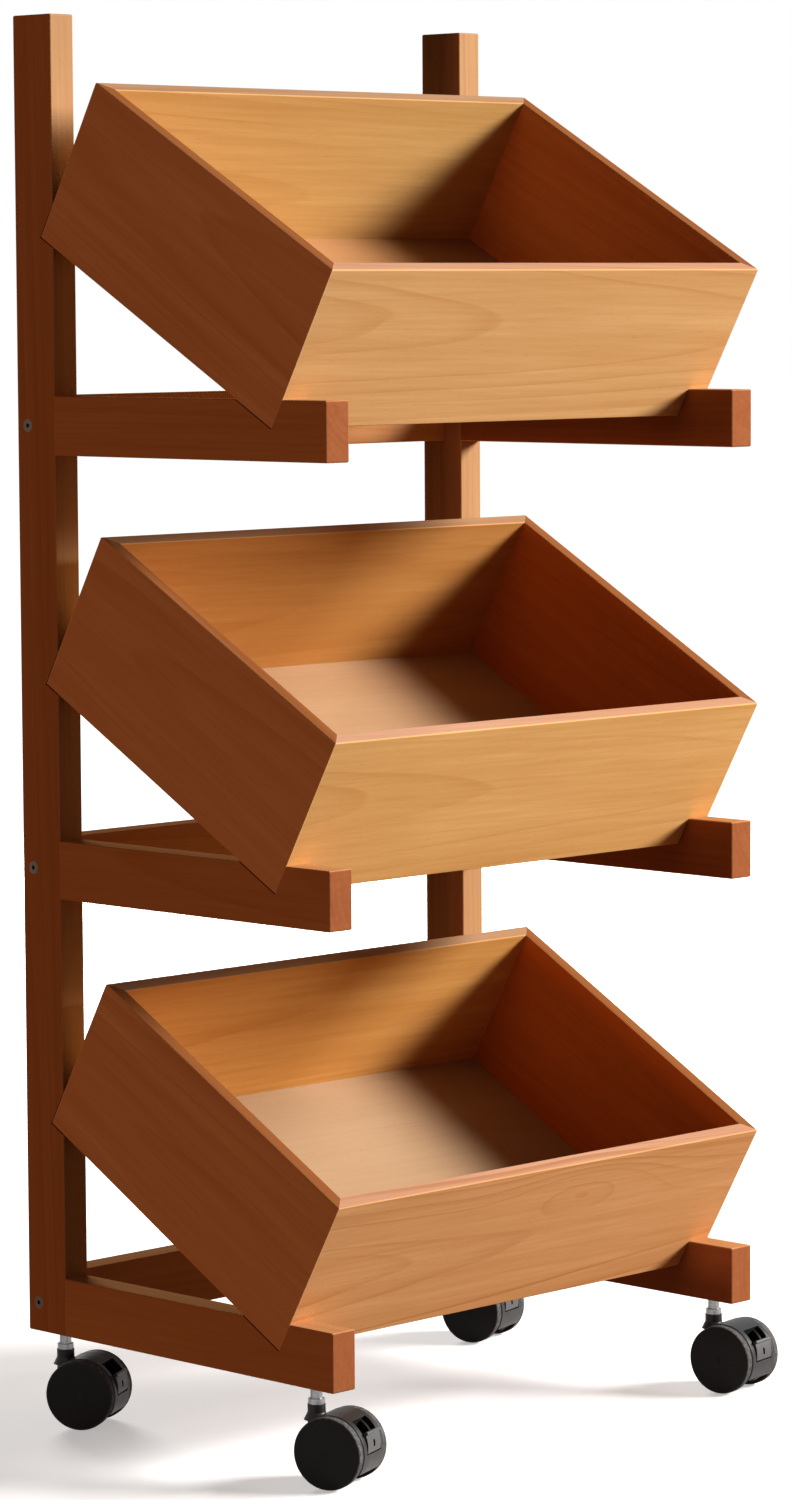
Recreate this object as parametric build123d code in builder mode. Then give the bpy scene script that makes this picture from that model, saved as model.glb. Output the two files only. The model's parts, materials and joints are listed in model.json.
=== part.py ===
from build123d import *

import os
from math import acos, cos, degrees, radians, sin, sqrt

# Rolling storage rack in timber: two side frames, each a post with three forward arms, three crossbars,
# three open boxes that sit tilted forward in notches, and four twin-wheel casters with brake pedals.
# Millimetres. +X is the rack's right, -Y its front, +Z up. The origin is on the floor, under the middle
# of the rack's width and of its depth from the front wheels to the backs of the posts.

# Side frames and crossbars
frame_width = 415.0  # over the outer faces of the two side frames
stock_thickness = 21.0  # posts, arms and crossbars
post_height = 900.0
post_depth = 38.0
arm_length = 262.0  # in front of the post
arm_height = 40.0
tier_pitch = 302.0
timber_ease = 1.2  # rounding of the timber's edges

# Boxes
box_length = 256.0  # along the slope
box_height = 117.0  # square to the slope
box_inset = 0.5  # from the frame's outer face to the box's side
box_tilt = 29.4  # degrees, front down
wall_thickness = 10.0
floor_thickness = 6.0
rebate_depth = 5.0  # the floor's seat in the walls
panel_clearance = 0.1
box_ease = 1.0
post_notch = 12.0  # how far the box's back bottom edge reaches into the posts
nose_depth = 19.0  # from the arm's top to the box's front bottom edge
seat_clearance = 0.3  # between the box and its notches

# Dowels and screws
dowel_diameter = 6.0
dowel_clearance = 0.05
arm_dowel_length = 34.0
arm_dowel_in_post = 15.0
arm_dowel_heights = (22.0, 33.0)  # above the arm's underside, over the caster's insert
bar_dowel_length = 30.0
bar_dowel_in_post = 11.0
bar_dowel_spread = 22.0
dowel_end_gap = 0.5
screw_diameter = 5.0
screw_length = 55.0
screw_head_diameter = 8.5
screw_head_angle = 90.0
screw_socket = 3.0  # across the flats
screw_socket_depth = 2.0
screw_clearance = 0.05

# Casters
caster_inset = 26.0  # stem from the arm's end, and from the post's back
caster_trail = 17.0  # axle in front of the stem
caster_width = 45.0  # over the wheels
wheel_diameter = 48.0
wheel_dome = 1.5  # rise of the wheel's outer face
wheel_edge = 1.2  # rounding of the tread's outer edge
tread_width = 5.5
tread_step = 2.5  # the drum under the hood is this much smaller in radius than the tread
wheel_recess = 8.0  # depth of the hollow in the wheel's inner side
drum_wall = 2.7
wheel_hub_diameter = 13.0
wheel_side_gap = 0.5  # between wheel and web, and between tread and hood
axle_diameter = 5.0
axle_clearance = 0.05
axle_end_cover = 3.0  # wheel face over the axle's end
hood_gap = 0.8  # between drum and hood
hood_wall = 2.2
hood_ease = 1.0
hood_front_drop = 33.0  # degrees that the hood reaches below the axle's height
web_thickness = 12.0
web_boss_diameter = 20.0
neck_diameter = 12.0
neck_rise = 4.0  # neck above the wheels' tops
neck_flare = 2.5  # widening of the neck at its foot
stem_exposed = 11.5  # between the neck and the timber
stem_diameter = 8.0
stem_clearance = 0.05
stem_collar_diameter = 11.0
stem_collar_height = 3.5
stem_collar_gap = 0.2
stem_pin_length = 22.0  # in the neck
neck_floor = 3.5  # under the pin
stem_thread_length = 13.0  # in the insert
stem_groove = 0.6
insert_diameter = 11.0
insert_length = 15.0
insert_clearance = 0.05
pedal_width = 19.0
pedal_clearance = 1.0  # between pedal and window
pedal_lift = 12.0  # degrees that the pedal stands out at rest
pedal_low = 4.0  # degrees above the axle's height, where the pedal's plate begins
pedal_high = 37.0  # degrees, where it ends
pedal_lip = 1.6
pedal_lip_span = 5.0  # degrees
pedal_gap_above = 21.0  # degrees of open window over the pedal
pedal_gap_below = 6.0
pedal_pivot_depth = 4.8  # pivot inside the hood's inner face
pedal_pivot_angle = 2.0
pedal_knuckle_diameter = 6.4
pedal_knuckle_width = 6.8
pedal_trunnion_diameter = 3.2
pedal_rib_gap = 8.0  # degrees between the rib and the slot
lug_wall = 1.0
lug_clearance = 0.5
pedal_side_clearance = 0.2
pedal_ease = 0.8
pedal_slot_angle = 17.0
pedal_slot_length = 5.0
pedal_slot_width = 2.6

# Swivel of each caster, in degrees: turned as they came to rest
caster_swivels = {"front_left": 20.0, "front_right": 10.0, "rear_left": 28.0, "rear_right": 15.0}

# Heights and places that follow from the sizes above
wheel_radius = wheel_diameter / 2
mount_height = wheel_diameter + neck_rise + stem_exposed
neck_top = wheel_diameter + neck_rise
front_swivel = radians(max(caster_swivels["front_left"], caster_swivels["front_right"]))
wheel_reach = (caster_trail + wheel_radius) * cos(front_swivel) + caster_width / 2 * sin(front_swivel)
post_front = (arm_length - caster_inset + wheel_reach - post_depth) / 2
post_back = post_front + post_depth
arm_end = post_front - arm_length
nose_setback = arm_length + post_notch - box_length * cos(radians(box_tilt))  # from the arm's end
outer_face = frame_width / 2
inner_face = outer_face - stock_thickness
side_middle = outer_face - stock_thickness / 2
tiers = {"top": 2, "middle": 1, "bottom": 0}
sides = {"left": -1, "right": 1}
right_way = Vector(1, 0, 0)
slope_back = Vector(0, cos(radians(box_tilt)), sin(radians(box_tilt)))
slope_out = Vector(0, -sin(radians(box_tilt)), cos(radians(box_tilt)))
bar_middle = post_back - stock_thickness / 2
dowel_hole_radius = dowel_diameter / 2 + dowel_clearance

os.makedirs("parts", exist_ok=True)


def save(piece, name):
    """Labels a finished piece and writes its STEP file."""
    piece.label = name
    export_step(piece, f"parts/{name}.step")


def arm_underside(tier):
    return mount_height + tiers[tier] * tier_pitch


def box_nose(tier):
    """The middle of a box's front bottom edge."""
    return Vector(0, arm_end + nose_setback, arm_underside(tier) + arm_height - nose_depth)


def cut_seat(tier):
    """Cuts the outline of a box, with its clearance, out of the timber that carries it."""
    with BuildSketch(Plane(box_nose(tier), x_dir=slope_back, z_dir=right_way)) as seat:
        with Locations((-seat_clearance, -seat_clearance)):
            Rectangle(box_length + 2 * seat_clearance, box_height, align=(Align.MIN, Align.MIN))
    extrude(seat.sketch, amount=frame_width, both=True, mode=Mode.SUBTRACT)


def arm_dowel_places(side, tier):
    """Planes on the joint between an arm and its post, facing forward."""
    x = sides[side] * side_middle
    heights = [arm_underside(tier) + height for height in arm_dowel_heights]
    return [Plane((x, post_front, z), z_dir=(0, -1, 0)) for z in heights]


def bar_dowel_places(side, tier):
    """Planes on the joint between a crossbar and a post, facing out of the rack."""
    middle = arm_underside(tier) + arm_height / 2
    heights = [middle - bar_dowel_spread / 2, middle + bar_dowel_spread / 2]
    return [Plane((sides[side] * inner_face, bar_middle, z), z_dir=(sides[side], 0, 0)) for z in heights]


def screw_place(side, tier):
    """The plane of a screw's head, on the post's outer face."""
    middle = arm_underside(tier) + arm_height / 2
    return Plane((sides[side] * outer_face, bar_middle, middle), z_dir=(sides[side], 0, 0))


def stem_place(caster):
    """The point on the timber's underside where a caster's stem goes in."""
    end, side = caster.split("_")
    y = arm_end + caster_inset if end == "front" else post_back - caster_inset
    return Vector(sides[side] * side_middle, y, mount_height)


def drill_insert(caster):
    with Locations(Plane(stem_place(caster), z_dir=(0, 0, -1))):
        Hole(insert_diameter / 2 + insert_clearance, insert_length + dowel_end_gap)


def make_post(side):
    with BuildPart() as post:
        with BuildSketch(Plane.XY.offset(mount_height)):
            with Locations((sides[side] * side_middle, post_front + post_depth / 2)):
                Rectangle(stock_thickness, post_depth)
        extrude(amount=post_height)
        fillet(post.edges(), timber_ease)
        for tier in tiers:
            cut_seat(tier)
            with Locations(*arm_dowel_places(side, tier)):
                Hole(dowel_hole_radius, arm_dowel_in_post + dowel_end_gap)
            with Locations(*bar_dowel_places(side, tier)):
                Hole(dowel_hole_radius, bar_dowel_in_post + dowel_end_gap)
            with Locations(screw_place(side, tier)):
                CounterSinkHole(
                    screw_diameter / 2 + screw_clearance,
                    screw_head_diameter / 2 + screw_clearance,
                    counter_sink_angle=screw_head_angle,
                )
        drill_insert(f"rear_{side}")
    save(post.part, f"post_{side}")


def make_arm(side, tier):
    with BuildPart() as arm:
        with BuildSketch(Plane.XZ.offset(-post_front)):
            with Locations((sides[side] * side_middle, arm_underside(tier) + arm_height / 2)):
                Rectangle(stock_thickness, arm_height)
        extrude(amount=arm_length)
        butt = arm.faces().sort_by(Axis.Y)[-1]
        fillet([edge for edge in arm.edges() if edge not in butt.edges()], timber_ease)
        cut_seat(tier)
        with Locations(*arm_dowel_places(side, tier)):
            Hole(dowel_hole_radius, arm_dowel_length - arm_dowel_in_post + dowel_end_gap)
        if tier == "bottom":
            drill_insert(f"front_{side}")
    save(arm.part, f"arm_{side}_{tier}")


def make_crossbar(tier):
    with BuildPart() as bar:
        with BuildSketch(Plane.YZ.offset(-inner_face)):
            with Locations((bar_middle, arm_underside(tier) + arm_height / 2)):
                Rectangle(stock_thickness, arm_height)
        extrude(amount=2 * inner_face)
        fillet(bar.edges().filter_by(Axis.X), timber_ease)
        for side in sides:
            with Locations(*bar_dowel_places(side, tier)):
                Hole(dowel_hole_radius, bar_dowel_length - bar_dowel_in_post + dowel_end_gap)
            with Locations(screw_place(side, tier)):
                Hole(screw_diameter / 2 + screw_clearance, screw_length + dowel_end_gap)
    save(bar.part, f"crossbar_{tier}")


def make_dowels():
    """Dowels of the arms, and of the crossbars, each set as separate solids in one piece."""
    joints = [(side, tier) for side in sides for tier in tiers]
    with BuildPart() as arm_dowels:
        for side, tier in joints:
            for joint in arm_dowel_places(side, tier):
                with Locations(joint.offset(arm_dowel_length / 2 - arm_dowel_in_post)):
                    Cylinder(dowel_diameter / 2, arm_dowel_length)
    save(arm_dowels.part, "arm_dowels")
    with BuildPart() as bar_dowels:
        for side, tier in joints:
            for joint in bar_dowel_places(side, tier):
                with Locations(joint.offset(bar_dowel_in_post - bar_dowel_length / 2)):
                    Cylinder(dowel_diameter / 2, bar_dowel_length)
    save(bar_dowels.part, "crossbar_dowels")


def make_screws():
    """Countersunk screws with a hexagon socket, heads flush with the posts."""
    head_height = (screw_head_diameter - screw_diameter) / 2
    with BuildPart() as screw:
        with BuildSketch(Plane.XZ):
            with BuildLine():
                Polyline(
                    (0, 0),
                    (screw_head_diameter / 2, 0),
                    (screw_diameter / 2, -head_height),
                    (screw_diameter / 2, screw_diameter / 2 - screw_length),
                    (0, -screw_length),
                    close=True,
                )
            make_face()
        revolve(axis=Axis.Z)
        with BuildSketch(Plane.XY):
            RegularPolygon(screw_socket / 2, 6, major_radius=False)
        extrude(amount=-screw_socket_depth, mode=Mode.SUBTRACT)
    with BuildPart() as screws:
        with Locations(*[screw_place(side, tier) for side in sides for tier in tiers]):
            add(screw.part)
    save(screws.part, "crossbar_screws")


def make_wall(tier, index, name):
    """One mitred wall of a box, numbered round it from the front, with the floor's rebate in its foot."""
    width = frame_width - 2 * box_inset
    along = [right_way, slope_back, right_way * -1, slope_back * -1][index]
    length = width if index % 2 == 0 else box_length
    foot = [
        Vector(0, 0, 0),
        right_way * (width / 2) + slope_back * (box_length / 2),
        slope_back * box_length,
        right_way * (-width / 2) + slope_back * (box_length / 2),
    ][index]
    plane = Plane(box_nose(tier) + foot, x_dir=along, z_dir=slope_out)
    half = length / 2
    with BuildPart() as wall:
        with BuildSketch(plane):
            with BuildLine():
                Polyline(
                    (-half, 0),
                    (half, 0),
                    (half - wall_thickness, wall_thickness),
                    (wall_thickness - half, wall_thickness),
                    close=True,
                )
            make_face()
        extrude(amount=box_height)
        long_edges = wall.edges().filter_by(Axis(plane.origin, plane.x_dir))
        inner_edges = long_edges.sort_by(Axis(plane.origin, plane.y_dir))[2:]
        inner_foot = inner_edges.sort_by(Axis(plane.origin, slope_out))[0]
        fillet([edge for edge in long_edges if edge != inner_foot], box_ease)
        with BuildSketch(plane):
            with Locations((0, wall_thickness)):
                Rectangle(length, rebate_depth, align=(Align.CENTER, Align.MAX))
        extrude(amount=floor_thickness + panel_clearance, mode=Mode.SUBTRACT)
    save(wall.part, f"box_{tier}_{name}")


def make_floor(tier):
    """The floor board of a box, let into the walls and flush with their feet."""
    margin = wall_thickness - rebate_depth + panel_clearance
    width = frame_width - 2 * box_inset
    with BuildPart() as floor:
        with BuildSketch(Plane(box_nose(tier), x_dir=right_way, z_dir=slope_out)):
            with Locations((0, box_length / 2)):
                Rectangle(width - 2 * margin, box_length - 2 * margin)
        extrude(amount=floor_thickness)
    save(floor.part, f"box_{tier}_floor")


# The casters are drawn about the stem's axis, with the wheels in front of it and the floor at zero.
axle_point = Vector(0, -caster_trail, wheel_radius)
axle_line = Axis(axle_point, right_way)
drum_radius = wheel_radius - tread_step
hood_inner = drum_radius + hood_gap
hood_outer = hood_inner + hood_wall
wheel_inner_side = web_thickness / 2 + wheel_side_gap
rim_side = caster_width / 2 - wheel_dome
tread_side = rim_side - tread_width
hood_half = tread_side - wheel_side_gap
caster_side = Plane(axle_point, x_dir=(0, 1, 0), z_dir=right_way)
pivot_radius = hood_inner - pedal_pivot_depth
pivot_angle = radians(pedal_pivot_angle)
pivot_point = axle_point + Vector(0, -cos(pivot_angle), sin(pivot_angle)) * pivot_radius


def sector(inner, outer, start, end):
    """A ring sector about the sketch's origin, from a start angle to an end angle in degrees."""
    middle = (start + end) / 2

    def at(radius, angle):
        return (radius * cos(radians(angle)), radius * sin(radians(angle)))

    with BuildLine() as outline:
        ThreePointArc(at(outer, start), at(outer, middle), at(outer, end))
        Line(at(outer, end), at(inner, end))
        ThreePointArc(at(inner, end), at(inner, middle), at(inner, start))
        Line(at(inner, start), at(outer, start))
    make_face(outline.edges())


def make_wheel():
    """A wheel with a domed face, a narrow tread and a hollow drum that runs under the hood."""
    bore_radius = axle_diameter / 2 + axle_clearance
    bore_end = caster_width / 2 - axle_end_cover
    with BuildPart() as wheel:
        with BuildSketch(Plane(axle_point, x_dir=right_way, z_dir=(0, -1, 0))) as section:
            with BuildLine():
                Polyline(
                    (caster_width / 2, 0),
                    (bore_end, 0),
                    (bore_end, bore_radius),
                    (wheel_inner_side, bore_radius),
                    (wheel_inner_side, wheel_hub_diameter / 2),
                    (wheel_inner_side + wheel_recess, wheel_hub_diameter / 2),
                    (wheel_inner_side + wheel_recess, drum_radius - drum_wall),
                    (wheel_inner_side, drum_radius - drum_wall),
                    (wheel_inner_side, drum_radius),
                    (tread_side, drum_radius),
                    (tread_side, wheel_radius),
                    (rim_side, wheel_radius),
                )
                dome_radius = (wheel_radius**2 + wheel_dome**2) / (2 * wheel_dome)
                middle_rise = sqrt(dome_radius**2 - (wheel_radius / 2) ** 2) - (dome_radius - wheel_dome)
                ThreePointArc(
                    (rim_side, wheel_radius),
                    (rim_side + middle_rise, wheel_radius / 2),
                    (caster_width / 2, 0),
                )
            make_face()
            rim = section.vertices().sort_by(Axis.Y)[-2:].sort_by(Axis.X)[-1]
            fillet(rim, wheel_edge)
        revolve(axis=axle_line)
    return wheel.part


def make_axle():
    length = caster_width - 2 * axle_end_cover - 2 * wheel_side_gap
    with BuildPart() as axle:
        with BuildSketch(Plane(axle_point, z_dir=right_way)):
            Circle(axle_diameter / 2)
        extrude(amount=length / 2, both=True)
    return axle.part


def make_stem():
    """The steel stem: thread, collar, and a grooved pin on which the hood swivels."""
    radius = stem_diameter / 2
    pin_end = neck_top - stem_pin_length
    collar_low = neck_top + stem_collar_gap
    groove_low = pin_end + stem_diameter / 2
    with BuildPart() as stem:
        with BuildSketch(Plane.XZ):
            with BuildLine():
                Polyline(
                    (0, pin_end),
                    (radius - stem_groove, pin_end),
                    (radius, pin_end + stem_groove),
                    (radius, groove_low),
                    (radius - stem_groove, groove_low),
                    (radius - stem_groove, groove_low + 2 * stem_groove),
                    (radius, groove_low + 2 * stem_groove),
                    (radius, collar_low),
                    (stem_collar_diameter / 2, collar_low),
                    (stem_collar_diameter / 2, collar_low + stem_collar_height),
                    (radius, collar_low + stem_collar_height),
                    (radius, mount_height + stem_thread_length - stem_groove),
                    (radius - stem_groove, mount_height + stem_thread_length),
                    (0, mount_height + stem_thread_length),
                    close=True,
                )
            make_face()
        revolve(axis=Axis.Z)
    return stem.part


def make_hood():
    """The moulded body: neck, web between the wheels, hood over their drums, and lugs for the pedal."""
    back_angle = degrees(acos(caster_trail / hood_outer))
    back_level = sqrt(hood_outer**2 - caster_trail**2)
    window_top = 180 - pedal_high - pedal_gap_above
    window_bottom = 180 - pedal_low + pedal_gap_below
    neck_foot = neck_top - stem_pin_length - neck_floor
    boss_radius = web_boss_diameter / 2
    lug_diameter = pedal_knuckle_diameter + 2 * lug_wall
    # Shell over both drums, open at the front for the pedal
    with BuildPart() as shell:
        with BuildSketch(caster_side):
            sector(hood_inner, hood_outer, back_angle, 180 + hood_front_drop)
        extrude(amount=hood_half, both=True)
        arcs = shell.edges().filter_by(GeomType.CIRCLE)
        fillet([arc for arc in arcs if arc.radius > hood_inner + hood_ease], hood_ease)
        with BuildSketch(caster_side):
            sector(hood_inner - hood_wall, hood_outer + hood_wall, window_top, window_bottom)
        extrude(amount=pedal_width / 2 + pedal_clearance, both=True, mode=Mode.SUBTRACT)
    with BuildPart() as hood:
        # Neck with its flared foot, cleared of the drums
        with BuildSketch(Plane.XY.offset(neck_foot)):
            Circle(neck_diameter / 2)
        extrude(amount=neck_top - neck_foot)
        with Locations((0, 0, wheel_radius + back_level)):
            Cone(
                neck_diameter / 2 + neck_flare,
                neck_diameter / 2,
                2 * neck_flare,
                align=(Align.CENTER, Align.CENTER, Align.MIN),
            )
        for way in (-1, 1):
            web_face = Plane(axle_point + right_way * (way * web_thickness / 2), z_dir=right_way * way)
            with BuildSketch(web_face):
                Circle(hood_inner + hood_wall / 2)
            extrude(amount=hood_half, mode=Mode.SUBTRACT)
        # Web: axle boss, pie up to the hood, foot of the neck and lug for the pedal
        with BuildSketch(caster_side):
            Circle(boss_radius)
            sector(boss_radius / 2, hood_inner + hood_wall / 2, back_angle, window_top)
            with BuildLine():
                Polyline(
                    (0, 0),
                    (boss_radius * cos(radians(45)), -boss_radius * sin(radians(45))),
                    (caster_trail, neck_foot - wheel_radius),
                    (caster_trail, back_level),
                    close=True,
                )
            make_face()
            with Locations((-pivot_radius / 2 * cos(pivot_angle), pivot_radius / 2 * sin(pivot_angle))):
                SlotCenterToCenter(pivot_radius, lug_diameter, rotation=-pedal_pivot_angle)
        extrude(amount=web_thickness / 2, both=True)
        # Slot for the pedal's knuckle between two lugs
        with BuildSketch(Plane(pivot_point, z_dir=right_way)):
            Circle(lug_diameter / 2 + lug_clearance)
        extrude(amount=pedal_knuckle_width / 2 + pedal_side_clearance, both=True, mode=Mode.SUBTRACT)
        add(shell.part)
        # Bores for the stem, the axle and the pedal's trunnions
        with Locations((0, 0, neck_top)):
            Hole(stem_diameter / 2 + stem_clearance, stem_pin_length + dowel_end_gap)
        with Locations(Plane(axle_point, z_dir=right_way)):
            Hole(axle_diameter / 2 + axle_clearance, web_thickness)
        with Locations(Plane(pivot_point, z_dir=right_way)):
            Hole(pedal_trunnion_diameter / 2 + axle_clearance, web_thickness)
    return hood.part


def make_pedal():
    """The brake pedal: a slotted plate in the hood's window, on a knuckle with moulded trunnions."""
    low = 180 - pedal_low
    high = 180 - pedal_high
    rib_high = radians(pedal_slot_angle - pedal_rib_gap)
    plate_middle = hood_inner + hood_wall / 2
    knuckle_radius = pedal_knuckle_diameter / 2
    slot_angle = radians(pedal_slot_angle)
    slot_way = Vector(0, -cos(slot_angle), sin(slot_angle))
    pivot_x = -pivot_radius * cos(pivot_angle)
    pivot_y = pivot_radius * sin(pivot_angle)
    with BuildPart() as pedal:
        with BuildSketch(caster_side):
            sector(hood_inner, hood_outer, high, low)
            sector(plate_middle, hood_outer + pedal_lip, high, high + pedal_lip_span)
        extrude(amount=pedal_width / 2, both=True)
        cross_edges = pedal.edges().filter_by(Axis.X).sort_by(Axis.Z)
        fillet(cross_edges[-2:], pedal_ease)
        with BuildSketch(Plane(axle_point + slot_way * hood_inner, x_dir=right_way, z_dir=slot_way)):
            SlotOverall(pedal_slot_length, pedal_slot_width, rotation=90)
        extrude(amount=2 * hood_wall, mode=Mode.SUBTRACT)
        with BuildSketch(caster_side):
            with Locations((pivot_x, pivot_y)):
                Circle(knuckle_radius)
            with BuildLine():
                Polyline(
                    (-plate_middle * cos(radians(pedal_low)), plate_middle * sin(radians(pedal_low))),
                    (-plate_middle * cos(rib_high), plate_middle * sin(rib_high)),
                    (pivot_x, pivot_y + knuckle_radius),
                    (pivot_x, pivot_y - knuckle_radius),
                    close=True,
                )
            make_face()
        extrude(amount=pedal_knuckle_width / 2, both=True)
        with BuildSketch(Plane(pivot_point, z_dir=right_way)):
            Circle(pedal_trunnion_diameter / 2)
        extrude(amount=web_thickness / 2 - pedal_side_clearance, both=True)
    return pedal.part.rotate(Axis(pivot_point, right_way), pedal_lift)


def make_insert():
    """A threaded sleeve, drawn under the timber's underside as if screwed in along the stem's axis."""
    with BuildPart() as insert:
        with BuildSketch(Plane.XY.offset(mount_height)):
            Circle(insert_diameter / 2)
            Circle(stem_diameter / 2 + stem_clearance, mode=Mode.SUBTRACT)
        extrude(amount=insert_length)
    return insert.part


def caster_location(caster):
    spot = stem_place(caster)
    return Location((spot.X, spot.Y, 0), (0, 0, caster_swivels[caster]))


def make_casters():
    """One caster's pieces, copied to the four stems and turned to their swivels."""
    wheel = make_wheel()
    pieces = {
        "stem": make_stem(),
        "hood": make_hood(),
        "axle": make_axle(),
        "wheel_left": wheel.mirror(Plane.YZ),
        "wheel_right": wheel,
        "brake_pedal": make_pedal(),
    }
    for caster in caster_swivels:
        for name, piece in pieces.items():
            with BuildPart() as placed:
                with Locations(caster_location(caster)):
                    add(piece)
            save(placed.part, f"caster_{caster}_{name}")
    insert = make_insert()
    with BuildPart() as inserts:
        with Locations(*[caster_location(caster) for caster in caster_swivels]):
            add(insert)
    save(inserts.part, "caster_inserts")


for side in sides:
    make_post(side)
    for tier in tiers:
        make_arm(side, tier)
for tier in tiers:
    make_crossbar(tier)
    for index, name in enumerate(["front", "right", "back", "left"]):
        make_wall(tier, index, name)
    make_floor(tier)
make_dowels()
make_screws()
make_casters()
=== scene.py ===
import json
from math import cos, radians, sin
from typing import NamedTuple

import bpy
from mathutils import Euler, Matrix, Vector


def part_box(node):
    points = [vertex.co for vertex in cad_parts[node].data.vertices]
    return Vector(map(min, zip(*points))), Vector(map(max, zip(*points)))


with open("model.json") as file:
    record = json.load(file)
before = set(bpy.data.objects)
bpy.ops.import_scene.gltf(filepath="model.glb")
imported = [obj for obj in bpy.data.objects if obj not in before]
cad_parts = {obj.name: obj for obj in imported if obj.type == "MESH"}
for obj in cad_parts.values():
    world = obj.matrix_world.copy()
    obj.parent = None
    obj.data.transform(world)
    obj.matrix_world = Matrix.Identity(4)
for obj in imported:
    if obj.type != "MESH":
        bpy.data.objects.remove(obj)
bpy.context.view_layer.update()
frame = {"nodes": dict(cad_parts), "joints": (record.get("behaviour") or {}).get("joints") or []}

# Names that repeat among the pieces
TIERS = ("top", "middle", "bottom")
SIDES = ("left", "right")
CASTERS = ("front_left", "front_right", "rear_left", "rear_right")

# Directions of the rack, then of the tilted boxes: up the slope of their floors, and square to it
BOX_TILT = radians(29.4)
RIGHT = Vector((1, 0, 0))
BACK = Vector((0, 1, 0))
UP = Vector((0, 0, 1))
SLOPE_BACK = Vector((0, cos(BOX_TILT), sin(BOX_TILT)))
SLOPE_OUT = Vector((0, -sin(BOX_TILT), cos(BOX_TILT)))

# Colours of the stained timber
POST_TINT = (0.466, 0.277, 0.1425)
# Painted shade: the posts' side faces darker than their fronts, their inner faces darker still
POST_SIDE_PAINTED_SHADE = (0.44, 0.22, 0.098)
POST_INNER_PAINTED_SHADE = (0.31, 0.155, 0.085)
ARM_TINT = (0.51, 0.26, 0.115)
ARM_END_TINT = (0.464, 0.2, 0.095)
# Painted shade on the arms' inner faces, deepest on the upper tiers under the boxes
ARM_INNER_PAINTED_SHADES = {
    "top": (0.24, 0.085, 0.036),
    "middle": (0.24, 0.08, 0.036),
    "bottom": (0.35, 0.142, 0.075),
}
BOX_SIDE_TINT = (0.69, 0.4, 0.205)
# Painted shade: the right boards' outer faces darkened where the window lights them most
BOX_RIGHT_PAINTED_SHADE = (0.45, 0.262, 0.125)
BOX_BACK_TINT = (0.66, 0.39, 0.17)
# Painted shade on the top edges of the front and back boards
FRONT_RIM_PAINTED_SHADE = (0.52, 0.3, 0.195)
BACK_RIM_PAINTED_SHADE = (0.41, 0.25, 0.145)
FRONT_TINTS = {
    "top": (0.73, 0.447, 0.195),
    "middle": (0.8, 0.476, 0.18),
    "bottom": (0.794, 0.438, 0.195),
}
# Painted shade on the faces inside the boxes, deepest on the right walls and redder on the backs of the lower
# boxes
INNER_PAINTED_SHADE = (0.52, 0.25, 0.095)
INNER_RIGHT_PAINTED_SHADES = {
    "top": (0.63, 0.235, 0.088),
    "middle": (0.44, 0.13, 0.032),
    "bottom": (0.45, 0.13, 0.03),
}
INNER_BACK_PAINTED_SHADES = {
    "top": (0.581, 0.362, 0.134),
    "middle": (0.55, 0.268, 0.08),
    "bottom": (0.69, 0.356, 0.106),
}
FLOOR_TINTS = {
    "top": (0.465, 0.248, 0.11),
    "middle": (0.426, 0.264, 0.145),
    "bottom": (0.414, 0.274, 0.161),
}
BEECH_TINT = (0.72, 0.5, 0.3)

# Shares of a board's colour in its marks
PALE = (1.14, 1.16, 1.18)
CLOUDED = (0.9, 0.8, 0.68)
BANDED = (0.84, 0.7, 0.54)
FIBRED = (0.82, 0.68, 0.52)
LATE_WOOD = (0.76, 0.58, 0.42)
FLECKED = (0.5, 0.38, 0.3)
# Paler edges: partly wear, partly a painted highlight on the eased edges
WORN_AND_HIGHLIT = (1.2, 1.3, 1.7)
CUT_END = (0.63, 0.46, 0.36, 1)
# Darker long rims of the box sides: partly a deeper stain, partly painted shade
RIM_STAIN_AND_SHADE = (0.4, 0.26, 0.175, 1)

# How strongly each of those marks shows
CLOUD_STRENGTH = 0.35
BAND_STRENGTH = 0.5
FIBRE_STRENGTH = 0.45
LATE_STRENGTH = 0.45
FLECK_STRENGTH = 0.25
# Paler edges: partly wear, partly a painted highlight
WORN_AND_HIGHLIT_STRENGTH = (0.2, 0.5)
CUT_END_STRENGTH = 0.8

# Scale of the marks: noise to the metre along a board, across it and through it
RING_WAVE_SCALE = (1.6, 16, 16)
RING_PATCH_SCALE = (2.0, 26, 26)
FIBRE_SCALE = (8, 320, 320)
BAND_SCALE = (1.2, 60, 60)
FLECK_SCALE = (120, 2600, 2600)
CLOUD_SCALE = (5.0, 11, 11)

# Growth rings: width, bend in metres, changes from season to season, and shade from one ring to the next
PINE_RING = 0.006
BEECH_RING = 0.002
RING_BEND = (0, 0.009, 0.009)
SEASONS_TO_METRE = 90.0
SEASON_SHIFT = 2.6
RING_SHADES = ((0.0, 0.05), (0.55, 0.25), (0.86, 1.0), (0.94, 0.9), (1.0, 0.05))
RING_PATCH_STRENGTH = (0.15, 1.0)

# The bulge in the trunk that closes the rings to ovals, and where on a board it lies, along and across
SWELL_STRETCH = (15, 48, 0)
SWELL_DEPTH = 0.016
SWELLS = {"box_bottom_front": (0.045, 0.036)}

# Strength of the rings and of the streaks on a board
PLAIN_FIGURE = (1.0, 1.0)
BOLD_FIGURE = (2.2, 1.15)
FAINT_FIGURE = (0.25, 0.3)
DOWEL_FIGURE = (0.4, 0.5)

# Steps between the boards' places along the log, in metres
LOG_STEP = 0.37

# Spans of noise from which the marks come
MOST_NOISE = (0.3, 0.7)
MIDDLE_NOISE = (0.35, 0.65)
CLOUD_NOISE = (0.3, 0.75)
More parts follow.
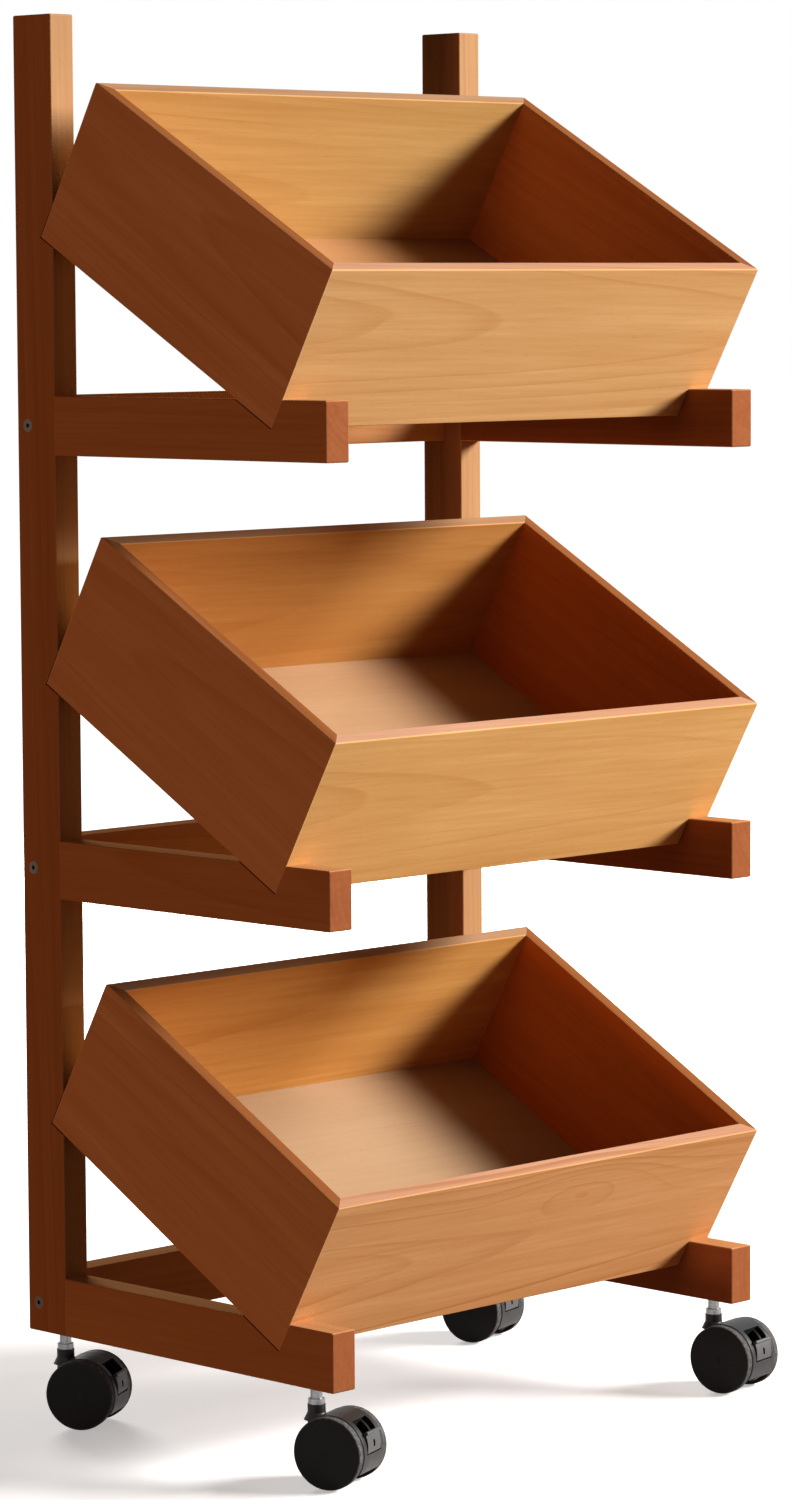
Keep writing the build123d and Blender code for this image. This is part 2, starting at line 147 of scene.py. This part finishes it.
# Paler edges: partly wear, partly a painted highlight
WORN_AND_HIGHLIT_NOISE = (0.3, 0.6)
FLECK_NOISE = (0.64, 0.75)
# Paler tread: partly dust, partly a painted highlight
DUST_AND_HIGHLIGHT_NOISE = (0.35, 0.7)
SPOT_NOISE = (0.4, 0.75)

# How squarely a face has to look one way to count as facing it, and how far the surface turns at an edge
SQUARELY = (0.8, 0.95)
EDGE_TURN = (0.985, 0.85)

# Radius of the paler edges, in metres: on the timber and the metal partly wear and partly a painted
# highlight, on the plastic rubbed
WOOD_EDGE = 0.0016
PLASTIC_EDGE = 0.0007
METAL_EDGE = 0.0004

# Relief of the surfaces: strength, and depth in metres
WOOD_RELIEF = (0.2, 0.0002)
PLASTIC_RELIEF = (0.18, 0.0001)
METAL_RELIEF = (0.15, 0.00005)

# Roughness of the timber, and how late wood changes it and stands out
WOOD_ROUGHNESS = (0.46, 0.58)
LATE_ROUGHNESS = -0.06
LATE_HEIGHT = 0.5

# Plastic: its grain and clouds to the metre, the colours of clouds and scuffs, and of the wheels' paler
# tread, partly dust and partly a painted highlight
PLASTIC_GRAIN_SCALE = (2600, 2600, 2600)
PLASTIC_CLOUD_SCALE = (90, 90, 90)
PLASTIC_CLOUDED = (1.5, 1.48, 1.45)
PLASTIC_CLOUD_STRENGTH = 0.35
RUBBED_STRENGTH = (0.2, 0.9)
SCUFF_TINT = (0.3, 0.3, 0.31, 1)
DUST_AND_HIGHLIGHT_TINT = (0.13, 0.13, 0.13, 1)
DUST_AND_HIGHLIGHT_SCALE = (420, 420, 420)
DUST_AND_HIGHLIGHT_STRENGTH = (0.25, 1.0)

# Wheels: the radii between which the face turns into the tread, and the faint marks of turning on the face
TREAD_START = (0.0229, 0.0235)
TREAD_ROUGHNESS = 0.25
TURNING_MARKS = 9000.0
TURNING_ROUGHNESS = 0.015

# Metal: tool marks that run round a turned pin or every way, dull spots, and brighter edges that are partly
# wear and partly a painted highlight
TURNED_SCALE = (60, 60, 3000)
TUMBLED_SCALE = (900, 900, 900)
SPOT_SCALE = (300, 300, 300)
SPOT_ROUGHNESS = 0.1
SPOT_STRENGTH = 0.5
DULL = (0.6, 0.59, 0.57)
BRIGHT = (1.8, 1.8, 1.8)
BRIGHT_STRENGTH = 0.5

# Floor: how far it reaches, how it brightens away from the rack, and how its glow grows from left to right
FLOOR_REACH = 30.0
FLOOR_ROUGHNESS = 0.9
PAPER_TINT = (0.8, 0.8, 0.8, 1)
PAPER_FAR = (0.6, 2.2)
PAPER_LIGHT = (0.42, 1.0)
GLOW_TINT = (0.47, 0.21, 0.105, 1)
GLOW_ACROSS = (-0.3, 0.1)
GLOW_LIGHT = (0.16, 0.45)

# Room and light
RACK_MIDDLE = (0, 0, 0.5)
ROOM_TINT = (0.043, 0.036, 0.032, 1)
WHITE = (1, 1, 1, 1)

# Camera at the photograph's place
LENS = 118.9
SENSOR_WIDTH = 36.0
CLIP_END = 200.0
CAMERA_PLACE = (-2.42024, -2.40315, 0.77595)
CAMERA_TURN = (1.4787, 0.0059, -0.7884)


class Tree:
    """The nodes of a material or world, with helpers that add a node and hand back one of its outputs."""

    def __init__(self, owner):
        owner.use_nodes = True
        self.owner = owner
        self.nodes = owner.node_tree.nodes
        self.links = owner.node_tree.links
        self.shader = self.nodes.get("Principled BSDF") or self.nodes["Background"]

    def set(self, node, inputs):
        """Links the inputs that are given an output, and sets the others."""
        for key, value in inputs.items():
            if isinstance(value, bpy.types.NodeSocket):
                self.links.new(value, node.inputs[key])
            else:
                node.inputs[key].default_value = value

    def add(self, kind, inputs, output=0, **settings):
        node = self.nodes.new("ShaderNode" + kind)
        for key, value in settings.items():
            setattr(node, key, value)
        self.set(node, inputs)
        return node.outputs[output]

    def math(self, operation, a, b=0.0):
        return self.add("Math", {0: a, 1: b}, operation=operation)

    def vector(self, operation, a, b=(0, 0, 0), output=0):
        return self.add("VectorMath", {0: a, 1: b}, output, operation=operation)

    def place(self):
        return self.add("TexCoord", {}, "Object")

    def facing(self, way):
        """How squarely a face looks a given way, from -1 to 1."""
        normal = self.add("TexCoord", {}, "Normal")
        return self.vector("DOT_PRODUCT", normal, tuple(way), "Value")

    def noise(self, place, scale, detail=2.0, roughness=0.5, output=0):
        stretched = self.vector("MULTIPLY", place, scale)
        inputs = {"Vector": stretched, "Scale": 1.0, "Detail": detail, "Roughness": roughness}
        return self.add("TexNoise", inputs, output)

    def spread(self, value, span, onto=(0.0, 1.0)):
        """A value's span stretched onto another one."""
        inputs = {
            "Value": value,
            "From Min": span[0],
            "From Max": span[1],
            "To Min": onto[0],
            "To Max": onto[1],
        }
        return self.add("MapRange", inputs)

    def mix(self, share, a, b, blend_type="MIX"):
        return self.add("Mix", {0: share, 6: a, 7: b}, 2, data_type="RGBA", blend_type=blend_type)

    def ramp(self, value, stops):
        node = self.nodes.new("ShaderNodeValToRGB")
        points = node.color_ramp.elements
        while len(points) < len(stops):
            points.new(0.5)
        for point, (position, shade) in zip(points, stops):
            point.position = position
            point.color = (shade, shade, shade, 1)
        self.links.new(value, node.inputs[0])
        return node.outputs[0]

    def edges(self, radius):
        """One along a piece's edges, nothing on its faces."""
        rounded = self.add("Bevel", {"Radius": radius}, samples=4)
        straight = self.add("NewGeometry", {}, "Normal")
        across = self.vector("DOT_PRODUCT", rounded, straight, "Value")
        return self.spread(across, EDGE_TURN)

    def bump(self, height, strength, distance):
        return self.add("Bump", {"Height": height, "Strength": strength, "Distance": distance})


class Board(NamedTuple):
    """A piece of timber: its node, the ways its grain and its width run, and its colour.

    The faces are the ways that some faces look, each with a colour of its own: the arms' darker cut ends, and
    painted shade on the others. The pith is the middle of the log, seen from the middle of the board, across
    it and through it. The lean is how the log is turned to it.
    """

    node: str
    length: Vector
    width: Vector
    colour: tuple
    faces: list
    pith: tuple
    lean: tuple


def shaded(colour, share):
    return (colour[0] * share[0], colour[1] * share[1], colour[2] * share[2], 1)


def wood(name, board, ring, figure, offset=0.0, swell=None, rim=0.0):
    """Stained wood: rings round a pith that leans a little to the board, fibres, flecks, paler edges that are
    partly wear and partly a painted highlight, and painted shade on some faces.

    The figure is the strength of the rings and of the streaks. A swell is a place on the board, along and
    across it, where the trunk bulged. The rim is how much darker the long edges are: partly a deeper stain,
    partly painted shade.
    """
    t = Tree(bpy.data.materials.new(name))
    rings, streaks = figure
    low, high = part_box(board.node)
    through = board.length.cross(board.width)
    turn = Euler((0, *board.lean)).to_matrix() @ Matrix((board.length, board.width, through))
    shift = Vector((offset, -board.pith[0], -board.pith[1])) - turn @ ((low + high) / 2)
    place = t.add("Mapping", {"Vector": t.place(), "Location": shift, "Rotation": turn.to_euler()})

    # Growth rings, bent by slow waves along the trunk, some seasons wide and some narrow
    wave = t.noise(place, RING_WAVE_SCALE, output="Color")
    wave = t.vector("SUBTRACT", wave, (0.5, 0.5, 0.5))
    bent = t.vector("ADD", place, t.vector("MULTIPLY", wave, RING_BEND))
    radius = t.vector("LENGTH", t.vector("MULTIPLY", bent, (0, 1, 1)), output="Value")
    if swell:
        away = t.vector("SUBTRACT", bent, (offset + swell[0], swell[1] - board.pith[0], 0))
        away = t.vector("LENGTH", t.vector("MULTIPLY", away, SWELL_STRETCH), output="Value")
        bulge = t.math("EXPONENT", t.math("MULTIPLY", t.math("MULTIPLY", away, away), -1.0))
        radius = t.math("SUBTRACT", radius, t.math("MULTIPLY", bulge, SWELL_DEPTH))
    year = t.math("MULTIPLY", radius, SEASONS_TO_METRE)
    season = t.add("TexNoise", {"W": year, "Scale": 1.0}, noise_dimensions="1D")
    turns = t.math("ADD", t.math("DIVIDE", radius, ring), t.math("MULTIPLY", season, SEASON_SHIFT))
    late = t.ramp(t.math("FRACT", turns), RING_SHADES)
    patchy = t.spread(t.noise(place, RING_PATCH_SCALE), MIDDLE_NOISE, RING_PATCH_STRENGTH)
    late = t.math("MULTIPLY", late, patchy)

    # Fibres, short dark flecks, slow changes in the stain, and paler edges that are partly wear and partly a
    # painted highlight
    fibre = t.noise(place, FIBRE_SCALE, detail=5.0, roughness=0.6)
    band = t.noise(place, BAND_SCALE, detail=3.0, roughness=0.6)
    fleck = t.spread(t.noise(place, FLECK_SCALE, detail=1.0), FLECK_NOISE)
    cloud = t.noise(place, CLOUD_SCALE, detail=3.0)
    worn_and_highlit = t.math("MULTIPLY", t.edges(WOOD_EDGE), t.spread(cloud, WORN_AND_HIGHLIT_NOISE, WORN_AND_HIGHLIT_STRENGTH))
    tint = shaded(board.colour, PALE)
    for share, mark in (
        (t.spread(cloud, CLOUD_NOISE, (0.0, CLOUD_STRENGTH)), CLOUDED),
        (t.spread(band, MOST_NOISE, (0.0, BAND_STRENGTH * streaks)), BANDED),
        (t.spread(fibre, MOST_NOISE, (0.0, FIBRE_STRENGTH * streaks)), FIBRED),
        (t.math("MULTIPLY", late, LATE_STRENGTH * rings), LATE_WOOD),
        (t.math("MULTIPLY", fleck, FLECK_STRENGTH), FLECKED),
        (worn_and_highlit, WORN_AND_HIGHLIT),
    ):
        tint = t.mix(share, tint, shaded(board.colour, mark))

    # Faces with a colour of their own: painted shade on the side, inner and rim faces, and the arms' darker
    # cut ends
    for way, face_colour in board.faces:
        change = tuple(new / old for new, old in zip(face_colour, board.colour))
        other = t.mix(1.0, tint, (*change, 1), "MULTIPLY")
        tint = t.mix(t.spread(t.facing(way), SQUARELY), tint, other)

    # Cut ends drink more stain; the long rims of the box sides are darker, partly by a deeper stain and
    # partly as painted shade
    for way, strength, darkening in ((board.length, CUT_END_STRENGTH, CUT_END), (board.width, rim, RIM_STAIN_AND_SHADE)):
        square = t.math("ABSOLUTE", t.facing(way))
        darker = t.mix(1.0, tint, darkening, "MULTIPLY")
        tint = t.mix(t.spread(square, SQUARELY, (0.0, strength)), tint, darker)

    rough = t.spread(fibre, MOST_NOISE, WOOD_ROUGHNESS)
    height = t.math("ADD", fibre, t.math("MULTIPLY", late, LATE_HEIGHT))
    t.set(t.shader, {
        "Base Color": tint,
        "Roughness": t.math("ADD", rough, t.math("MULTIPLY", late, LATE_ROUGHNESS)),
        "Specular IOR Level": 0.0,
        "Normal": t.bump(height, *WOOD_RELIEF),
    })
    return t.owner


def plastic(name, colour, rough, scuffed, shine):
    """Moulded plastic: fine spark texture, cloudy gloss, and edges rubbed paler."""
    t = Tree(bpy.data.materials.new(name))
    grain = t.noise(t.place(), PLASTIC_GRAIN_SCALE)
    cloud = t.noise(t.place(), PLASTIC_CLOUD_SCALE, detail=3.0)
    cloudy = t.spread(cloud, MOST_NOISE, (0.0, PLASTIC_CLOUD_STRENGTH))
    tint = t.mix(cloudy, (*colour, 1), shaded(colour, PLASTIC_CLOUDED))
    brighter_edges = t.math("MULTIPLY", t.edges(PLASTIC_EDGE), t.spread(cloud, MIDDLE_NOISE, RUBBED_STRENGTH))
    tint = t.mix(t.math("MULTIPLY", brighter_edges, scuffed), tint, SCUFF_TINT)
    t.set(t.shader, {
        "Base Color": tint,
        "Roughness": t.spread(cloud, MOST_NOISE, (rough - 0.06, rough + 0.08)),
        "Specular IOR Level": shine,
        "Normal": t.bump(grain, *PLASTIC_RELIEF),
    })
    return t


def wheel_plastic(name, axle, across):
    """Wheel: smooth dark face with faint turning marks, and a paler tread, partly dust and partly a painted
    highlight.
    """
    t = plastic(name, (0.0075, 0.0075, 0.0079), rough=0.42, scuffed=0.2, shine=0.09)
    tint = t.shader.inputs["Base Color"].links[0].from_socket
    rough = t.shader.inputs["Roughness"].links[0].from_socket
    arm = t.vector("SUBTRACT", t.place(), axle)
    radius = t.vector("LENGTH", t.vector("CROSS_PRODUCT", arm, across), output="Value")
    tread = t.spread(radius, TREAD_START)
    # The paler tread: partly dust, partly a painted highlight
    dust_and_highlight = t.noise(t.place(), DUST_AND_HIGHLIGHT_SCALE, detail=3.0, roughness=0.6)
    dusty_and_highlit = t.math("MULTIPLY", tread, t.spread(dust_and_highlight, DUST_AND_HIGHLIGHT_NOISE, DUST_AND_HIGHLIGHT_STRENGTH))
    marks = t.math("SINE", t.math("MULTIPLY", radius, TURNING_MARKS))
    rough = t.math("ADD", rough, t.math("MULTIPLY", tread, TREAD_ROUGHNESS))
    rough = t.math("ADD", rough, t.math("MULTIPLY", marks, TURNING_ROUGHNESS))
    t.set(t.shader, {"Base Color": t.mix(dusty_and_highlit, tint, DUST_AND_HIGHLIGHT_TINT), "Roughness": rough})
    return t.owner


def metal(name, colour, rough, scale):
    """Plated metal: fine tool marks, dull spots and brighter edges, partly wear and partly a painted
    highlight.
    """
    t = Tree(bpy.data.materials.new(name))
    marks = t.noise(t.place(), scale)
    spots = t.noise(t.place(), SPOT_SCALE, detail=3.0, roughness=0.6)
    spotted = t.spread(spots, SPOT_NOISE, (0.0, SPOT_STRENGTH))
    tint = t.mix(spotted, (*colour, 1), shaded(colour, DULL))
    # Brighter edges: partly wear, partly a painted highlight
    brighter_edges = t.math("MULTIPLY", t.edges(METAL_EDGE), BRIGHT_STRENGTH)
    tooled = t.spread(marks, MOST_NOISE, (rough - 0.08, rough + 0.1))
    t.set(t.shader, {
        "Base Color": t.mix(brighter_edges, tint, shaded(colour, BRIGHT)),
        "Metallic": 1.0,
        "Roughness": t.math("ADD", tooled, t.math("MULTIPLY", spots, SPOT_ROUGHNESS)),
        "Normal": t.bump(marks, *METAL_RELIEF),
    })
    return t.owner


def dress(node, material):
    for slot in frame["nodes"][node].material_slots:
        slot.material = material


def lamp(name, place, aim, size, watts, colour):
    data = bpy.data.lights.new(name, "AREA")
    data.shape = "RECTANGLE"
    data.size, data.size_y = size
    data.energy = watts
    data.color = colour
    obj = bpy.data.objects.new(name, data)
    bpy.context.scene.collection.objects.link(obj)
    obj.location = place
    obj.rotation_euler = (Vector(aim) - Vector(place)).to_track_quat("-Z", "Y").to_euler()
    return obj


# Timber: each board is cut from its own place in a log and takes the stain in its own way; the faces listed
# with a board carry painted shade, apart from the arms' cut ends
boards = []
for number, side in enumerate(SIDES):
    outward = RIGHT * (2 * number - 1)
    # Painted shade on the posts' outer sides and, deeper, on their inner faces
    post_faces = [(outward, POST_SIDE_PAINTED_SHADE), (-outward, POST_INNER_PAINTED_SHADE)]
    boards.append(Board(f"post_{side}", UP, BACK, POST_TINT, post_faces,
                        pith=(0.03 - 0.05 * number, 0.07), lean=(0.01, -0.012)))
    for step, tier in enumerate(TIERS):
        # Painted shade on the arms' inner faces, deepest on the upper tiers; the front ends are darker cut
        # ends
        arm_faces = [(-BACK, ARM_END_TINT), (-outward, ARM_INNER_PAINTED_SHADES[tier])]
        pith = (0.045 - 0.03 * step + 0.02 * number, 0.05 + 0.012 * step)
        boards.append(Board(f"arm_{side}_{tier}", BACK, UP, ARM_TINT, arm_faces,
                            pith, lean=(0.02, 0.015 - 0.01 * step)))
for step, tier in enumerate(TIERS):
    box = f"box_{tier}"
    # Painted shade on the boxes' inner faces and top edges, and on the right boards' outer faces
    front_faces = [(SLOPE_BACK, INNER_PAINTED_SHADE), (SLOPE_OUT, FRONT_RIM_PAINTED_SHADE)]
    back_faces = [(-SLOPE_BACK, INNER_BACK_PAINTED_SHADES[tier]), (SLOPE_OUT, BACK_RIM_PAINTED_SHADE)]
    left_faces = [(RIGHT, INNER_PAINTED_SHADE)]
    right_faces = [(-RIGHT, INNER_RIGHT_PAINTED_SHADES[tier]), (RIGHT, BOX_RIGHT_PAINTED_SHADE)]
    boards += [
        Board(f"crossbar_{tier}", RIGHT, UP, ARM_TINT, [],
              pith=(0.02 + 0.01 * step, -0.06), lean=(0.012, 0.02)),
        Board(f"{box}_front", RIGHT, SLOPE_OUT, FRONT_TINTS[tier], front_faces,
              pith=(0.02 - 0.015 * step, 0.09), lean=(0.03, 0.012)),
        Board(f"{box}_back", RIGHT, SLOPE_OUT, BOX_BACK_TINT, back_faces,
              pith=(-0.02 + 0.02 * step, -0.1), lean=(-0.025, 0.01)),
        Board(f"{box}_left", SLOPE_BACK, SLOPE_OUT, BOX_SIDE_TINT, left_faces,
              pith=(0.03 - 0.02 * step, 0.1), lean=(0.03, -0.012)),
        Board(f"{box}_right", SLOPE_BACK, SLOPE_OUT, BOX_SIDE_TINT, right_faces,
              pith=(-0.03 + 0.02 * step, -0.09), lean=(-0.03, 0.01)),
        Board(f"{box}_floor", RIGHT, SLOPE_BACK, FLOOR_TINTS[tier], [],
              pith=(0.05 - 0.04 * step, 0.12), lean=(0.02, 0.01)),
    ]
for number, board in enumerate(boards):
    swell = SWELLS.get(board.node)
    figure = BOLD_FIGURE if swell else FAINT_FIGURE if board.node.endswith("floor") else PLAIN_FIGURE
    # The long rims of the box sides are darker: partly a deeper stain, partly painted shade
    rim = 1.0 if board.node.startswith("box") and board.node.endswith(SIDES) else 0.0
    material = wood(f"pine_{board.node}", board, PINE_RING, figure, LOG_STEP * number, swell, rim)
    dress(board.node, material)

for node, length in (("arm_dowels", BACK), ("crossbar_dowels", RIGHT)):
    dowels = Board(node, length, UP, BEECH_TINT, [], pith=(0.3, 0.3), lean=(0, 0))
    dress(node, wood(f"beech_{node}", dowels, BEECH_RING, DOWEL_FIGURE))

# Casters and fixings
zinc = metal("zinc_stem", (0.26, 0.26, 0.265), rough=0.32, scale=TURNED_SCALE)
brass = metal("brass_insert", (0.55, 0.38, 0.17), rough=0.35, scale=TURNED_SCALE)
browned = metal("browned_screw", (0.075, 0.05, 0.036), rough=0.5, scale=TUMBLED_SCALE)
hood = plastic("hood_plastic", (0.013, 0.013, 0.0134), rough=0.4, scuffed=0.3, shine=0.19).owner
pedal = plastic("pedal_plastic", (0.056, 0.057, 0.059), rough=0.42, scuffed=0.3, shine=0.28).owner
dress("caster_inserts", brass)
dress("crossbar_screws", browned)
joints = {joint["name"]: joint for joint in frame["joints"]}
for caster in CASTERS:
    dress(f"caster_{caster}_stem", zinc)
    dress(f"caster_{caster}_axle", zinc)
    dress(f"caster_{caster}_hood", hood)
    dress(f"caster_{caster}_brake_pedal", pedal)
    for side in SIDES:
        spin = joints[f"{caster}_wheel_{side}_spin"]
        nylon = wheel_plastic(f"nylon_{caster}_{side}", spin["pos_m"], spin["axis"])
        dress(f"caster_{caster}_wheel_{side}", nylon)

# Floor: pale to the eye, and a warm glow to the timber above it
mesh = bpy.data.meshes.new("floor")
corners = [(x * FLOOR_REACH, y * FLOOR_REACH, 0) for x, y in ((-1, -1), (1, -1), (1, 1), (-1, 1))]
mesh.from_pydata(corners, [], [(0, 1, 2, 3)])
floor = bpy.data.objects.new("floor", mesh)
bpy.context.scene.collection.objects.link(floor)
paper = Tree(bpy.data.materials.new("paper"))
away = paper.vector("LENGTH", paper.place(), output="Value")
paper.set(paper.shader, {
    "Base Color": PAPER_TINT,
    "Roughness": FLOOR_ROUGHNESS,
    "Specular IOR Level": 0.0,
    "Emission Color": WHITE,
    "Emission Strength": paper.spread(away, PAPER_FAR, PAPER_LIGHT),
})
across = paper.add("SeparateXYZ", {0: paper.place()})
strength = paper.spread(across, GLOW_ACROSS, GLOW_LIGHT)
glow = paper.add("Emission", {"Color": GLOW_TINT, "Strength": strength})
bounce = paper.add("LightPath", {}, "Is Diffuse Ray")
surface = paper.add("MixShader", {0: bounce, 1: paper.shader.outputs[0], 2: glow})
paper.set(paper.nodes["Material Output"], {0: surface})
paper.owner.cycles.emission_sampling = "NONE"
mesh.materials.append(paper.owner)

# Light: a soft window high at the front right, a weak one behind, and a weak warm lamp far to the left
lamp("window", (4.41, -3.62, 3.0), RACK_MIDDLE, size=(2.7, 1.9), watts=965.0, colour=(1.0, 0.955, 0.925))
behind = lamp("behind", (1.6, 3.1, 1.2), RACK_MIDDLE, size=(1.5, 1.5), watts=122.0, colour=(1.0, 0.97, 0.94))
behind.visible_glossy = False
left = lamp("left", (-9.0, 0.0, 0.54), (0, 0, 0.54), size=(0.6, 0.4), watts=130.0, colour=(1.0, 0.4, 0.172))
left.visible_glossy = False

# Room: dim to the timber, white to the eye and in reflections
room = Tree(bpy.data.worlds.new("room"))
bpy.context.scene.world = room.owner
room.set(room.shader, {0: ROOM_TINT})
white = room.add("Background", {0: WHITE})
seen = room.add("LightPath", {}, "Is Camera Ray")
for ray in ("Is Glossy Ray", "Is Transmission Ray"):
    seen = room.math("MAXIMUM", seen, room.add("LightPath", {}, ray))
both = room.add("MixShader", {0: seen, 1: room.shader.outputs[0], 2: white})
room.set(room.nodes["World Output"], {0: both})

data = bpy.data.cameras.new("camera")
data.lens = LENS
data.sensor_width = SENSOR_WIDTH
data.clip_end = CLIP_END
camera = bpy.data.objects.new("camera", data)
bpy.context.scene.collection.objects.link(camera)
camera.location = CAMERA_PLACE
camera.rotation_euler = CAMERA_TURN
bpy.context.scene.camera = camera
bpy.context.scene.view_settings.view_transform = "Standard"
